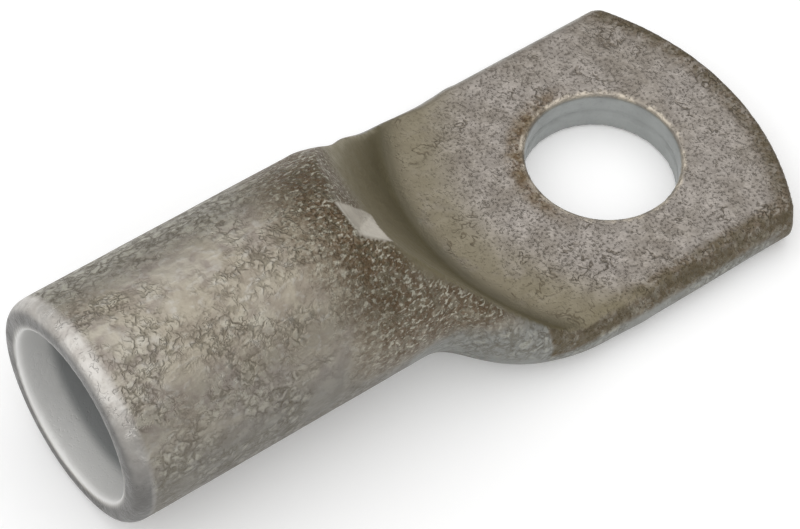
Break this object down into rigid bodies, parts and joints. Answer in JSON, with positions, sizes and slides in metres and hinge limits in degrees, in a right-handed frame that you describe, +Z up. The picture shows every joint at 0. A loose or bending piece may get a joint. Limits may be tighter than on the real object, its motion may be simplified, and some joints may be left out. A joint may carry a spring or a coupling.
{
  "type": "cable lug",
  "caption": "Tin-plated copper tubular cable lug: round barrel for a crimped cable end, pressed flat into a palm with a stud hole.",
  "frame": {"origin": "centre of the stud hole on the palm's underside", "axes": "+X from the stud hole to the palm's tip, away from the barrel's mouth; +Z up out of the palm's top, on the side where the barrel stands up"},
  "size_m": [0.0428, 0.018, 0.0124],
  "materials": {
    "tinned_copper": "dull mottled tin plating over copper"
  },
  "bodies": {
    "root": {"cable_lug": "tinned_copper"}
  },
  "joints": []
}
